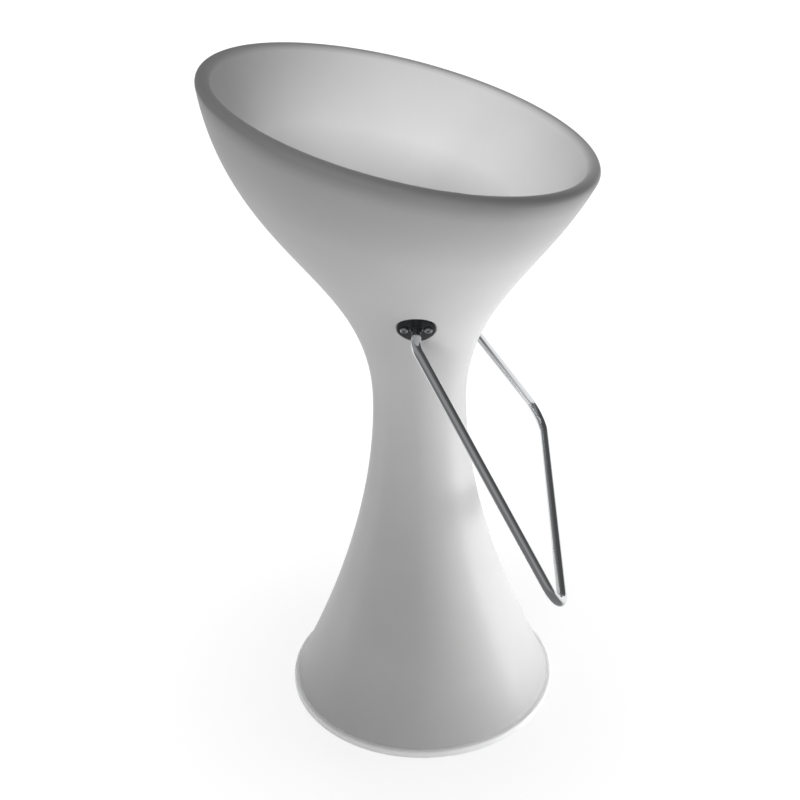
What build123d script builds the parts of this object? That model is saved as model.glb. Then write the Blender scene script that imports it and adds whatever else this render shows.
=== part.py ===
from build123d import *
import os
from math import cos, radians, sin, tan

os.makedirs("parts", exist_ok=True)

# Bar stool with a turned, double-walled shell. Millimetres, +Z up, origin on the floor under the
# body's axis. The low side of the mouth and the footrest point to -Y, and left is -X.

# Clearances and cutting
fit_gap = 0.05
running_gap = 0.1
seat_gap = 0.3
overrun = 1.0

# Turned wall of the shell: the shares are of the height from the foot or the rim to the waist
foot_radius = 174.0
foot_lean_angle = 23.0
foot_share = 0.07
waist_radius = 59.0
waist_height = 442.0
waist_down_share = 0.46
waist_up_share = 0.41
rim_radius = 250.0
rim_margin = 15.0
rim_lean_angle = 2.5
rim_share = 0.485
wall = 4.0

# Slanted mouth and its rounded lip
mouth_height = 806.0
mouth_tilt_angle = 14.3
lip_width = 17.0
lip_round_share = 0.46
lip_cap = 6.0

# Bowl of the seat, parallel to the outside down to where it turns into the floor
bowl_depth = 151.0
bowl_turn_share = 0.47
bowl_wall_share = 0.56
bowl_floor_share = 0.58

# Foot flange of the shell and its insert bosses
foot_opening_radius = 146.0
foot_flange_thickness = 5.0
base_screw_ring = 158.0
base_screw_count = 6
base_boss_radius = 9.0
base_boss_height = 15.0

# Footrest rod
rod_radius = 6.0
footrest_half_width = 240.0
footrest_forward = 173.0
footrest_height = 276.0
elbow_radius = 18.0
corner_radius = 32.0
stub_length = 25.0

# Round flanges of the footrest and their seats in the shell
flange_height = 585.0
flange_radius = 23.0
flange_thickness = 3.0
flange_edge_round = 1.2
collar_radius = 8.4
collar_top_radius = 6.9
collar_height = 3.0
seat_depth = 3.2
seat_margin = 1.2
flange_screw_offset = 14.0
flange_boss_radius = 8.0

# Footrest screws and their inserts
flange_screw_head_radius = 4.8
flange_screw_head_height = 3.0
flange_screw_shank_radius = 2.4
flange_screw_length = 14.0
flange_screw_hole_radius = 2.8
flange_screw_socket_radius = 2.0
flange_insert_radius = 4.5
flange_insert_bore_radius = 2.5
flange_insert_length = 13.0

# Base plate
plate_radius = 180.0
plate_thickness = 10.0
plate_round = 3.2
spigot_wall = 3.0
spigot_height = 5.0

# Base screws and their inserts
base_screw_head_radius = 4.8
base_screw_head_height = 3.0
base_screw_shank_radius = 2.4
base_screw_length = 14.0
base_screw_hole_radius = 2.8
base_screw_recess_radius = 5.6
base_screw_recess_depth = 3.6
base_screw_socket_radius = 2.0
base_insert_radius = 4.5
base_insert_bore_radius = 2.5
base_insert_length = 12.0

# Rubber pads
pad_proud = 2.0
pad_radius = 11.0
pad_thickness = 4.0
pad_round = 0.8

# Light unit: tray that closes the base plate's opening
opening_radius = 85.0
rebate_radius = 96.3
tray_flange_radius = 96.0
tray_flange_thickness = 3.0
gasket_thickness = 1.0
gasket_width = 9.0
tray_wall_radius = 84.5
tray_wall = 2.5
tray_height = 36.0
tray_screw_ring = 90.5
tray_screw_count = 4
tray_boss_radius = 4.5
tray_boss_height = 9.0
tray_screw_head_radius = 3.6
tray_screw_head_height = 1.8
tray_screw_shank_radius = 1.9
tray_screw_length = 12.0
tray_screw_socket_radius = 1.5

# Finger recess in the tray for the button and the charging socket
recess_length = 60.0
recess_width = 34.0
recess_depth = 17.0
recess_wall = 2.5
recess_forward = 48.0
recess_corner_radius = 6.0

# Opal dome over the lamps
dome_flange_thickness = 2.5
dome_foot_radius = 73.0
dome_rise = 30.0
dome_wall = 2.0
dome_foot_reach = 18.0
dome_top_reach = 45.0
dome_screw_ring = 78.0
dome_screw_count = 4
dome_boss_radius = 4.6
small_screw_head_radius = 2.6
small_screw_head_height = 1.6
small_screw_shank_radius = 1.4
small_screw_length = 8.0
small_screw_hole_radius = 1.6
small_screw_socket_radius = 1.1

# Lamp board on its posts
lamp_board_radius = 70.0
board_thickness = 1.6
lamp_post_ring = 61.0
lamp_post_count = 3
lamp_post_radius = 3.5
lamp_size = 5.0
lamp_height = 1.6
lamp_inner_ring = 24.0
lamp_inner_count = 6
lamp_outer_ring = 48.0
lamp_outer_count = 12

# Control board over the finger recess
control_length = 54.0
control_width = 28.0
control_clearance = 8.0
control_boss_radius = 2.6
control_screw_spacing = 46.0

# Battery
cell_radius = 9.2
cell_length = 65.0
cell_count = 3
cell_pitch = 18.8
holder_base = 2.0
holder_wall = 3.0
holder_height = 11.0
battery_back = 27.0

# Power button, its plunger and switch
button_place = -11.0
button_radius = 6.0
button_travel = 1.5
button_round = 0.6
button_flange_radius = 7.4
button_flange_thickness = 1.2
plunger_radius = 2.0
plunger_entry = 1.0
switch_size = 10.0
switch_height = 4.5

# Charging socket
socket_place = 10.0
barrel_radius = 4.3
socket_size = 10.0
socket_bore_radius = 3.15
socket_bore_depth = 9.0
socket_pin_radius = 1.0
socket_pin_length = 3.5

# Rubber flap that closes the socket
flap_thickness = 2.0
flap_radius = 5.4
flap_tab_length = 2.4
flap_tab_width = 6.0
flap_hinge_distance = 8.0
flap_neck_width = 6.0
flap_spigot_height = 3.5
flap_spigot_radius = 3.0
flap_spigot_tip_radius = 2.0
anchor_length = 7.0
anchor_stub_radius = 1.5

# Heights and places that follow from the sizes above
UP = (Align.CENTER, Align.CENTER, Align.MIN)
DOWN = (Align.CENTER, Align.CENTER, Align.MAX)
plate_bottom = pad_proud
foot_height = plate_bottom + plate_thickness
rim_height = mouth_height + rim_radius * tan(radians(mouth_tilt_angle)) + rim_margin
tray_floor_top = plate_bottom + tray_flange_thickness
tray_top = plate_bottom + tray_height
recess_ceiling = plate_bottom + recess_depth
recess_top = recess_ceiling + recess_wall
control_board_height = recess_top + control_clearance
recess_place = (0, -recess_forward)
pad_angle = 180 / base_screw_count


def disc(radius, low, high):
    """Upright cylinder between two heights on the body's axis."""
    return Pos(0, 0, low) * Cylinder(radius, high - low, align=UP)


def spread(shape, ring, count, start_angle=0):
    """Copies of a shape round the body's axis, as a list."""
    return [place * shape for place in PolarLocations(ring, count, start_angle)]


def screw(head_radius, head_height, shank_radius, length, socket_radius):
    """Screw with its head up and the underside of its head at the origin."""
    head = Cylinder(head_radius, head_height, align=UP)
    head = fillet(head.edges().sort_by(Axis.Z)[-1], head_height / 2)
    socket = extrude(RegularPolygon(socket_radius, 6), head_height / 2)
    shank = Cylinder(shank_radius, length, align=DOWN)
    return head - Pos(0, 0, head_height / 2) * socket + shank


def leaned(x, z, reach, angle):
    """Point of the turned section at a reach from (x, z), leaning to the axis by an angle."""
    return Vector(x - reach * sin(radians(angle)), 0, z + reach * cos(radians(angle)))


def foot_curve():
    """Outside of the turned section from the foot to the waist."""
    rise = waist_height - foot_height
    return Bezier(
        (foot_radius, 0, foot_height),
        leaned(foot_radius, foot_height, rise * foot_share, foot_lean_angle),
        (waist_radius, 0, waist_height - rise * waist_down_share),
        (waist_radius, 0, waist_height),
    )


def funnel_curve():
    """Outside of the turned section from the waist to above the mouth."""
    rise = rim_height - waist_height
    return Bezier(
        (waist_radius, 0, waist_height),
        (waist_radius, 0, waist_height + rise * waist_up_share),
        leaned(rim_radius, rim_height, -rise * rim_share, -rim_lean_angle),
        (rim_radius, 0, rim_height),
    )


def inward(curve, distance):
    """Curve that runs inside a curve of the section at a constant distance."""
    steps = 12
    points = []
    for step in range(steps + 1):
        along = curve % (step / steps)
        points.append(curve @ (step / steps) + Vector(-along.Z, 0, along.X) * distance)
    return Spline(*points, tangents=(curve % 0, curve % 1))


def share_at(curve, height):
    """Share of a rising curve's length at which it reaches a height."""
    low, high = 0.0, 1.0
    for _ in range(40):
        middle = (low + high) / 2
        if (curve @ middle).Z < height:
            low = middle
        else:
            high = middle
    return low


def turned(*curves):
    """Solid of revolution between a rising chain of curves and the axis."""
    start, end = curves[0] @ 0, curves[-1] @ 1
    close = Polyline(end, (0, 0, end.Z), (0, 0, start.Z), start)
    return revolve(make_face(Curve() + [*curves, close]), Axis.Z)


def bowl(skin):
    """Solid that fills the bowl, grown outwards by a skin."""
    side = inward(funnel_curve(), lip_width - skin)
    share = share_at(side, mouth_height - bowl_depth * bowl_turn_share)
    turn, along = side @ share, side % share
    floor = mouth_height - bowl_depth - skin
    dish = Bezier(
        (0, 0, floor),
        (turn.X * bowl_floor_share, 0, floor),
        turn - along * (turn.Z - floor) * bowl_wall_share,
        turn,
    )
    end = side @ 1
    close = Polyline(end, (0, 0, end.Z), (0, 0, floor))
    return revolve(make_face(Curve() + [dish, side.trim(share, 1), close]), Axis.Z)


def above_mouth(drop):
    """Everything above the slanted mouth plane, lowered by drop."""
    tilt = radians(mouth_tilt_angle)
    normal = Vector(0, -sin(tilt), cos(tilt))
    plane = Plane(origin=Vector(0, 0, mouth_height) - normal * drop, z_dir=normal)
    return plane * Cylinder(2 * rim_radius, rim_height, align=UP)


def flange_plane(side):
    """Plane at the centre of a flange's seat floor, facing out; side is -1 left and 1 right."""
    funnel = funnel_curve()
    share = share_at(funnel, flange_height)
    surface, along = funnel @ share, funnel % share
    normal = Vector(side * along.Z, 0, -along.X)
    origin = Vector(side * surface.X, 0, surface.Z) - normal * seat_depth
    return Plane(origin=origin, x_dir=(0, 1, 0), z_dir=normal)


def flange_screw_places():
    """Centres of the two screws on a flange's plane, level with each other."""
    return [Pos(side * flange_screw_offset, 0, 0) for side in (-1, 1)]


def seat_backing(side):
    """Solid stock behind a flange's seat, with a boss round each insert."""
    depth = wall + flange_insert_length
    pad = Cylinder(flange_radius + seat_margin + wall, seat_depth + wall)
    bosses = [place * Cylinder(flange_boss_radius, depth, align=DOWN) for place in flange_screw_places()]
    return flange_plane(side) * (Part() + [pad, *bosses])


def seat_cut(side):
    """Round pocket of a flange's seat, with the holes of its inserts."""
    pocket = Cylinder(flange_radius + seat_margin, 3 * seat_depth, align=UP)
    hole = Cylinder(flange_insert_radius + fit_gap, flange_insert_length, align=DOWN)
    return flange_plane(side) * (Part() + [pocket, *[place * hole for place in flange_screw_places()]])


def body_shell():
    """Hollow hourglass shell with its bowl, rounded lip, flange seats and foot flange."""
    outside = foot_curve(), funnel_curve()
    shell = turned(*outside) - bowl(0) - above_mouth(0)
    tilt = radians(mouth_tilt_angle)
    lip = shell.faces().sort_by(Axis((0, 0, 0), (0, -sin(tilt), cos(tilt))))[-1]
    shell = fillet(lip.edges(), lip_width * lip_round_share)
    flange_top = foot_height + foot_flange_thickness
    boss = disc(base_boss_radius, flange_top, flange_top + base_boss_height)
    kept = [disc(2 * foot_radius, foot_height - overrun, flange_top), bowl(wall), above_mouth(lip_cap)]
    kept += spread(boss, base_screw_ring, base_screw_count)
    kept += [seat_backing(side) for side in (-1, 1)]
    hollow = turned(*[inward(curve, wall) for curve in outside])
    for solid in kept:
        hollow -= solid
    shell -= hollow
    shell -= disc(foot_opening_radius, foot_height - overrun, flange_top + overrun)
    insert_hole = disc(base_insert_radius + fit_gap, foot_height - overrun, foot_height + base_insert_length)
    for hole in spread(insert_hole, base_screw_ring, base_screw_count):
        shell -= hole
    for side in (-1, 1):
        shell -= seat_cut(side)
    return shell


def base_plate():
    """Round plate under the foot, with its spigot, recesses and the light unit's opening."""
    plate = disc(plate_radius, plate_bottom, foot_height)
    plate = fillet(plate.edges(), plate_round)
    spigot = disc(foot_opening_radius - seat_gap, foot_height, foot_height + spigot_height)
    spigot -= disc(foot_opening_radius - seat_gap - spigot_wall, foot_height, foot_height + spigot_height)
    plate += spigot
    rebate_depth = tray_flange_thickness + gasket_thickness
    boss_low = plate_bottom + rebate_depth
    plate += spread(disc(tray_boss_radius, boss_low, boss_low + tray_boss_height), tray_screw_ring, tray_screw_count)
    plate -= disc(rebate_radius, plate_bottom - overrun, boss_low)
    plate -= disc(opening_radius, plate_bottom, foot_height + tray_boss_height)
    screw_hole = disc(base_screw_hole_radius, plate_bottom - overrun, foot_height + overrun)
    screw_hole += disc(base_screw_recess_radius, plate_bottom - overrun, plate_bottom + base_screw_recess_depth)
    pad_recess = disc(pad_radius + seat_gap, plate_bottom - overrun, pad_thickness)
    tapping = disc(tray_screw_shank_radius + fit_gap, plate_bottom, plate_bottom + tray_screw_length)
    plate -= spread(screw_hole, base_screw_ring, base_screw_count)
    plate -= spread(pad_recess, base_screw_ring, base_screw_count, pad_angle)
    return plate - spread(tapping, tray_screw_ring, tray_screw_count)


def base_screws():
    """Screws that hold the plate to the shell's inserts, heads down."""
    one = screw(base_screw_head_radius, base_screw_head_height, base_screw_shank_radius, base_screw_length,
                base_screw_socket_radius)
    one = Pos(0, 0, plate_bottom + base_screw_recess_depth) * Rot(180, 0, 0) * one
    return Compound(spread(one, base_screw_ring, base_screw_count))


def base_inserts():
    """Threaded sleeves moulded into the foot flange."""
    one = disc(base_insert_radius, foot_height, foot_height + base_insert_length)
    one -= disc(base_insert_bore_radius, foot_height, foot_height + base_insert_length)
    return Compound(spread(one, base_screw_ring, base_screw_count))


def foot_pads():
    """Rubber pads pressed into the underside of the plate."""
    one = Cylinder(pad_radius, pad_thickness, align=UP)
    one = fillet(one.edges().sort_by(Axis.Z)[0], pad_round)
    return Compound(spread(one, base_screw_ring, base_screw_count, pad_angle))


def footrest_bar():
    """Rod bent four times: a stub out of each flange, two arms and the crossbar."""
    left, right = flange_plane(-1), flange_plane(1)
    reach = seat_depth + stub_length
    corner = Vector(footrest_half_width, -footrest_forward, footrest_height)
    path = FilletPolyline(
        left.origin,
        left.origin + left.z_dir * reach,
        (-corner.X, corner.Y, corner.Z),
        corner,
        right.origin + right.z_dir * reach,
        right.origin,
        radius=[elbow_radius, corner_radius, corner_radius, elbow_radius],
    )
    return sweep(left * Circle(rod_radius), path=path)


def footrest_flange(side):
    """Round plate at a rod end, with its weld collar and two screw holes."""
    flange = Cylinder(flange_radius, flange_thickness, align=UP)
    flange = fillet(flange.edges().sort_by(Axis.Z)[-1], flange_edge_round)
    flange += Pos(0, 0, flange_thickness) * Cone(collar_radius, collar_top_radius, collar_height, align=UP)
    flange -= Cylinder(rod_radius + fit_gap, flange_thickness + collar_height, align=UP)
    for place in flange_screw_places():
        flange -= place * Cylinder(flange_screw_hole_radius, flange_thickness, align=UP)
    return flange_plane(side) * flange


def flange_screws(side):
    """Two screws through a flange."""
    one = screw(flange_screw_head_radius, flange_screw_head_height, flange_screw_shank_radius, flange_screw_length,
                flange_screw_socket_radius)
    return flange_plane(side) * Compound([place * Pos(0, 0, flange_thickness) * one for place in flange_screw_places()])


def flange_inserts(side):
    """Two threaded sleeves moulded into the shell behind a flange."""
    one = Cylinder(flange_insert_radius, flange_insert_length, align=DOWN)
    one -= Cylinder(flange_insert_bore_radius, flange_insert_length, align=DOWN)
    return flange_plane(side) * Compound([place * one for place in flange_screw_places()])


def recess_block(grow, low, high):
    """Rounded block over the finger recess, grown sideways, between two heights."""
    outline = RectangleRounded(recess_length + 2 * grow, recess_width + 2 * grow, recess_corner_radius + grow)
    return Pos(*recess_place, low) * extrude(outline, high - low)


def over_recess(place, shape):
    """Shape moved to its place along the finger recess."""
    return Pos(recess_place[0] + place, recess_place[1], 0) * shape


def control_screw_places():
    """Centres of the two control board screws."""
    return [side * control_screw_spacing / 2 for side in (-1, 1)]


def light_tray():
    """Shallow housing with the finger recess, board posts and dome bosses."""
    tray = disc(tray_flange_radius, plate_bottom, tray_floor_top)
    tray += disc(tray_wall_radius, plate_bottom, tray_top)
    tray -= disc(tray_wall_radius - tray_wall, tray_floor_top, tray_top)
    tray += recess_block(recess_wall, plate_bottom, recess_top)
    tray += spread(disc(dome_boss_radius, tray_floor_top, tray_top), dome_screw_ring, dome_screw_count, 45)
    tray += spread(disc(lamp_post_radius, tray_floor_top, tray_top), lamp_post_ring, lamp_post_count, 90)
    for place in control_screw_places():
        tray += over_recess(place, disc(control_boss_radius, recess_top, control_board_height))
    tray -= recess_block(0, plate_bottom - overrun, recess_ceiling)
    tray -= over_recess(button_place, disc(button_radius + running_gap, recess_ceiling, recess_top))
    tray -= over_recess(socket_place, disc(barrel_radius + running_gap, recess_ceiling, recess_top))
    stub_hole = disc(anchor_stub_radius + fit_gap, recess_ceiling, recess_top)
    tray -= over_recess(anchor_place(), stub_hole)
    screw_hole = disc(tray_screw_shank_radius + running_gap, plate_bottom - overrun, tray_floor_top)
    screw_hole += disc(tray_screw_head_radius + seat_gap, plate_bottom - overrun, plate_bottom + tray_screw_head_height)
    tray -= spread(screw_hole, tray_screw_ring, tray_screw_count)
    small_hole = disc(small_screw_shank_radius + fit_gap, tray_top - small_screw_length, tray_top)
    tray -= spread(small_hole, dome_screw_ring, dome_screw_count, 45)
    tray -= spread(small_hole, lamp_post_ring, lamp_post_count, 90)
    for place in control_screw_places():
        hole = disc(small_screw_shank_radius + fit_gap, recess_top, control_board_height)
        tray -= over_recess(place, hole)
    return tray


def tray_gasket():
    """Flat rubber ring between the tray's flange and the plate."""
    low, high = tray_floor_top, tray_floor_top + gasket_thickness
    gasket = disc(tray_flange_radius - seat_gap, low, high)
    gasket -= disc(tray_flange_radius - seat_gap - gasket_width, low, high)
    hole = disc(tray_screw_shank_radius + running_gap, low, high)
    return gasket - spread(hole, tray_screw_ring, tray_screw_count)


def tray_screws():
    """Screws that hold the tray under the plate, heads down."""
    one = screw(tray_screw_head_radius, tray_screw_head_height, tray_screw_shank_radius,
                tray_screw_length - tray_screw_head_height, tray_screw_socket_radius)
    one = Pos(0, 0, plate_bottom + tray_screw_head_height) * Rot(180, 0, 0) * one
    return Compound(spread(one, tray_screw_ring, tray_screw_count))


def small_screw(grip):
    """Small screw whose head sits a grip above the boss it enters."""
    return screw(small_screw_head_radius, small_screw_head_height, small_screw_shank_radius,
                 small_screw_length - overrun + grip, small_screw_socket_radius)


def light_dome():
    """Opal cover on the tray's wall, dished like a low dome."""
    low = tray_top + dome_flange_thickness
    solid = []
    for inset in (0, dome_wall):
        foot_x = dome_foot_radius - inset
        top = low + dome_rise - inset
        side = Bezier((foot_x, 0, low), (foot_x, 0, low + dome_foot_reach), (dome_top_reach, 0, top), (0, 0, top))
        close = Polyline(side @ 1, (0, 0, tray_top), (foot_x, 0, tray_top), side @ 0)
        solid.append(revolve(make_face(Curve() + [side, close]), Axis.Z))
    dome = solid[0] + disc(tray_wall_radius, tray_top, low) - solid[1]
    hole = disc(small_screw_hole_radius, tray_top, low)
    return dome - spread(hole, dome_screw_ring, dome_screw_count, 45)


def dome_screws():
    """Screws through the dome's flange."""
    one = Pos(0, 0, tray_top + dome_flange_thickness) * small_screw(dome_flange_thickness)
    return Compound(spread(one, dome_screw_ring, dome_screw_count, 45))


def led_board():
    """Round lamp board on the tray's posts."""
    board = disc(lamp_board_radius, tray_top, tray_top + board_thickness)
    hole = disc(small_screw_hole_radius, tray_top, tray_top + board_thickness)
    return board - spread(hole, lamp_post_ring, lamp_post_count, 90)


def led_board_screws():
    """Screws that hold the lamp board on its posts."""
    one = Pos(0, 0, tray_top + board_thickness) * small_screw(board_thickness)
    return Compound(spread(one, lamp_post_ring, lamp_post_count, 90))


def leds():
    """Two rings of lamps on the board."""
    one = Pos(0, 0, tray_top + board_thickness) * Box(lamp_size, lamp_size, lamp_height, align=UP)
    rings = spread(one, lamp_inner_ring, lamp_inner_count) + spread(one, lamp_outer_ring, lamp_outer_count, 15)
    return Compound(rings)


def control_board():
    """Board with the driver, over the finger recess."""
    board = Box(control_length, control_width, board_thickness, align=UP)
    for place in control_screw_places():
        board -= Pos(place, 0, 0) * Cylinder(small_screw_hole_radius, board_thickness, align=UP)
    return Pos(*recess_place, control_board_height) * board


def control_board_screws():
    """Two screws that hold the control board on its bosses."""
    one = Pos(0, 0, control_board_height + board_thickness) * small_screw(0)
    return Compound([over_recess(place, one) for place in control_screw_places()])


def cell_places():
    """Centres of the cells, side by side behind the recess."""
    middle = (cell_count - 1) / 2
    height = tray_floor_top + holder_base + cell_radius
    return [Pos(0, battery_back + (index - middle) * cell_pitch, height) for index in range(cell_count)]


def battery_holder():
    """Cradle with a round trough for each cell."""
    length = cell_length + 2 * (seat_gap + holder_wall)
    width = cell_count * cell_pitch + holder_wall
    holder = Pos(0, battery_back, tray_floor_top) * Box(length, width, holder_height, align=UP)
    trough = Rot(0, 90, 0) * Cylinder(cell_radius + fit_gap, cell_length + 2 * seat_gap)
    return holder - [place * trough for place in cell_places()]


def battery_cells():
    """Round cells lying in the cradle."""
    cell = Rot(0, 90, 0) * Cylinder(cell_radius, cell_length)
    return Compound([place * cell for place in cell_places()])


def power_button():
    """Button cap that comes through the recess ceiling, with its stop flange."""
    low = recess_ceiling - button_travel - seat_gap
    flange_low = recess_top + running_gap
    cap = disc(button_radius, low, flange_low)
    cap = fillet(cap.edges().sort_by(Axis.Z)[0], button_round)
    cap += disc(button_flange_radius, flange_low, flange_low + button_flange_thickness)
    return over_recess(button_place, cap)


def switch_plunger():
    """Plunger on the button, which enters the switch."""
    low = recess_top + running_gap + button_flange_thickness
    top = control_board_height - switch_height + plunger_entry
    return over_recess(button_place, disc(plunger_radius, low, top))


def button_switch():
    """Switch under the control board."""
    low = control_board_height - switch_height
    body = Pos(0, 0, low) * Box(switch_size, switch_size, switch_height, align=UP)
    bore_top = low + plunger_entry + button_travel + seat_gap
    body -= disc(plunger_radius + running_gap, low, bore_top)
    return over_recess(button_place, body)


def charge_socket():
    """Round barrel through the recess ceiling under a square body, with its centre pin."""
    low = recess_top + running_gap
    socket = Pos(0, 0, low) * Box(socket_size, socket_size, control_board_height - low, align=UP)
    socket += disc(barrel_radius, recess_ceiling, low)
    socket -= disc(socket_bore_radius, recess_ceiling, recess_ceiling + socket_bore_depth)
    pin_top = recess_ceiling + socket_bore_depth
    socket += disc(socket_pin_radius, pin_top - socket_pin_length, pin_top)
    return over_recess(socket_place, socket)


def anchor_place():
    """Centre of the flap's anchor along the recess."""
    return socket_place + flap_hinge_distance + flap_thickness / 2 + seat_gap + anchor_length / 2


def port_plug():
    """Rubber flap with a tapered spigot, a pull tab and a rounded end at its hinge."""
    top = recess_ceiling - running_gap
    low = top - flap_thickness
    flap = disc(flap_radius, low, top)
    tab = Box(flap_radius + flap_tab_length, flap_tab_width, flap_thickness, align=(Align.MAX, Align.CENTER, Align.MIN))
    neck = Box(flap_hinge_distance, flap_neck_width, flap_thickness, align=(Align.MIN, Align.CENTER, Align.MIN))
    knuckle = Rot(90, 0, 0) * Cylinder(flap_thickness / 2, flap_neck_width)
    flap += Pos(0, 0, low) * (tab + neck)
    flap += Pos(flap_hinge_distance, 0, low + flap_thickness / 2) * knuckle
    flap += Pos(0, 0, top) * Cone(flap_spigot_radius, flap_spigot_tip_radius, flap_spigot_height, align=UP)
    return over_recess(socket_place, flap)


def plug_anchor():
    """Foot of the flap's strap, with a stub through the recess ceiling."""
    top = recess_ceiling
    foot = Pos(0, 0, top) * Box(anchor_length, flap_neck_width, flap_thickness, align=DOWN)
    return over_recess(anchor_place(), foot + disc(anchor_stub_radius, top, recess_top))


export_step(body_shell(), "parts/body_shell.step")
export_step(base_plate(), "parts/base_plate.step")
export_step(base_screws(), "parts/base_screws.step")
export_step(base_inserts(), "parts/base_inserts.step")
export_step(foot_pads(), "parts/foot_pads.step")
export_step(footrest_bar(), "parts/footrest_bar.step")
for name, side in (("left", -1), ("right", 1)):
    export_step(footrest_flange(side), f"parts/footrest_flange_{name}.step")
    export_step(flange_screws(side), f"parts/flange_screws_{name}.step")
    export_step(flange_inserts(side), f"parts/flange_inserts_{name}.step")
export_step(light_tray(), "parts/light_tray.step")
export_step(tray_gasket(), "parts/tray_gasket.step")
export_step(tray_screws(), "parts/tray_screws.step")
export_step(light_dome(), "parts/light_dome.step")
export_step(dome_screws(), "parts/dome_screws.step")
export_step(led_board(), "parts/led_board.step")
export_step(led_board_screws(), "parts/led_board_screws.step")
export_step(leds(), "parts/leds.step")
export_step(control_board(), "parts/control_board.step")
export_step(control_board_screws(), "parts/control_board_screws.step")
export_step(battery_holder(), "parts/battery_holder.step")
export_step(battery_cells(), "parts/battery_cells.step")
export_step(charge_socket(), "parts/charge_socket.step")
export_step(button_switch(), "parts/button_switch.step")
export_step(switch_plunger(), "parts/switch_plunger.step")
export_step(power_button(), "parts/power_button.step")
export_step(port_plug(), "parts/port_plug.step")
export_step(plug_anchor(), "parts/plug_anchor.step")
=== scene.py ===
import logging
import math
from contextlib import contextmanager
from dataclasses import dataclass
from enum import Enum, IntEnum
from typing import Callable, Iterator

import bpy
import numpy as np
from mathutils import Matrix, Vector
from mathutils.geometry import interpolate_bezier


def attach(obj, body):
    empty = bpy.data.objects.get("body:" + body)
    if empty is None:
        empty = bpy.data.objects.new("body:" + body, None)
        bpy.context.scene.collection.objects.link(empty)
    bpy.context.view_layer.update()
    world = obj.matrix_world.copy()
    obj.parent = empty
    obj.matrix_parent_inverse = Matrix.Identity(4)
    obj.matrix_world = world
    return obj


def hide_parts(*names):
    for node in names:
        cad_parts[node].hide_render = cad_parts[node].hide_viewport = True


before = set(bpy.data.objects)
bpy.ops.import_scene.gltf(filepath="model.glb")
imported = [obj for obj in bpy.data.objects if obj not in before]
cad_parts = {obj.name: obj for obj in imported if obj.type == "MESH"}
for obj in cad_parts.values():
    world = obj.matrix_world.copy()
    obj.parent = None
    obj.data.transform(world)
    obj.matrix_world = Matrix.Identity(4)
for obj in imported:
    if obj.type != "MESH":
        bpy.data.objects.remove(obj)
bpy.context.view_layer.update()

logging.basicConfig(level=logging.INFO, format="%(name)s: %(message)s")
log = logging.getLogger("bar_stool")

# Metres and degrees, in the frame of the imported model: +Z up, the low side of the mouth to -Y
MM = 0.001
STOOL = "stool"
COINCIDENT = 1e-6
UNMOVED = Matrix.Identity(4).freeze()

# Sockets of a Mix node that are for numbers, and those that are for colours
NUMBER_A, NUMBER_B, NUMBER_RESULT = 2, 3, 0
COLOUR_A, COLOUR_B, COLOUR_RESULT = 6, 7, 2

# Where most values of a noise texture lie
NOISE_LOW, NOISE_HIGH = 0.3, 0.7

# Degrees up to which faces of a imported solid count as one, and from which an edge is eased
FLAT_ANGLE, EASED_ANGLE = 0.5, 50.0


class Pick(Enum):
    """What is selected in edit mode, in the order of the select modes."""

    VERTICES = "vertices"
    EDGES = "edges"
    FACES = "polygons"


class Combine(Enum):
    """How one solid is combined with another."""

    CUT = "DIFFERENCE"
    ADD = "UNION"


class Side(Enum):
    """Side of the stool, seen by someone who faces the low side of the mouth."""

    LEFT = -1
    RIGHT = 1


class Sides(IntEnum):
    """Faces round a turned or drilled form, more on a larger one."""

    SOCKET = 6
    TAPPING = 24
    SHANK = 32
    HOLE = 48
    HEAD = 64
    FLANGE = 96
    SEAT = 128
    PLATE = 192


def only(piece: bpy.types.Object) -> None:
    """Makes a piece the active one and the only one selected.

    Args:
        piece: The piece.
    """
    bpy.ops.object.select_all(action="DESELECT")
    piece.select_set(True)
    bpy.context.view_layer.objects.active = piece


@contextmanager
def editing(piece: bpy.types.Object) -> Iterator[None]:
    """Holds a piece in edit mode.

    Args:
        piece: The mesh to edit.
    """
    only(piece)
    bpy.ops.object.mode_set(mode="EDIT")
    yield
    bpy.ops.object.mode_set(mode="OBJECT")


def pick(piece: bpy.types.Object, kind: Pick, test: Callable[..., bool]) -> None:
    """Selects vertices, edges or faces of a piece in code.

    Args:
        piece: The mesh, in object mode.
        kind: What the test is given, one by one.
        test: Says which of them are selected.
    """
    for items in (piece.data.vertices, piece.data.edges, piece.data.polygons):
        items.foreach_set("select", [False] * len(items))
    for item in getattr(piece.data, kind.value):
        item.select = test(item)
    bpy.context.tool_settings.mesh_select_mode = [kind is mode for mode in Pick]


def apply_modifier(piece: bpy.types.Object, kind: str, **settings: object) -> None:
    """Adds a modifier to a piece and applies it.

    Args:
        piece: The mesh that takes it.
        kind: The modifier's type.
        settings: The modifier's settings by name.
    """
    only(piece)
    modifier = piece.modifiers.new(kind.title(), kind)
    for name, value in settings.items():
        setattr(modifier, name, value)
    bpy.ops.object.modifier_apply(modifier=modifier.name)


def combine(piece: bpy.types.Object, how: Combine, *tools: bpy.types.Object) -> None:
    """Cuts tools out of a piece or adds them to it, and removes the tools.

    Args:
        piece: The solid that is changed.
        how: Cut or add.
        tools: The closed solids that change it.
    """
    for tool in tools:
        apply_modifier(piece, "BOOLEAN", object=tool, operation=how.value, solver="EXACT")
        bpy.data.objects.remove(tool)


def settle(piece: bpy.types.Object, place: Matrix = UNMOVED) -> bpy.types.Object:
    """Moves a piece's place into its mesh.

    Args:
        piece: The piece, wherever its object is.
        place: A further move of the mesh.

    Returns:
        The piece, with its object at the origin.
    """
    only(piece)
    bpy.ops.object.transform_apply(location=True, rotation=True, scale=True)
    piece.data.transform(place)
    return piece


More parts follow.
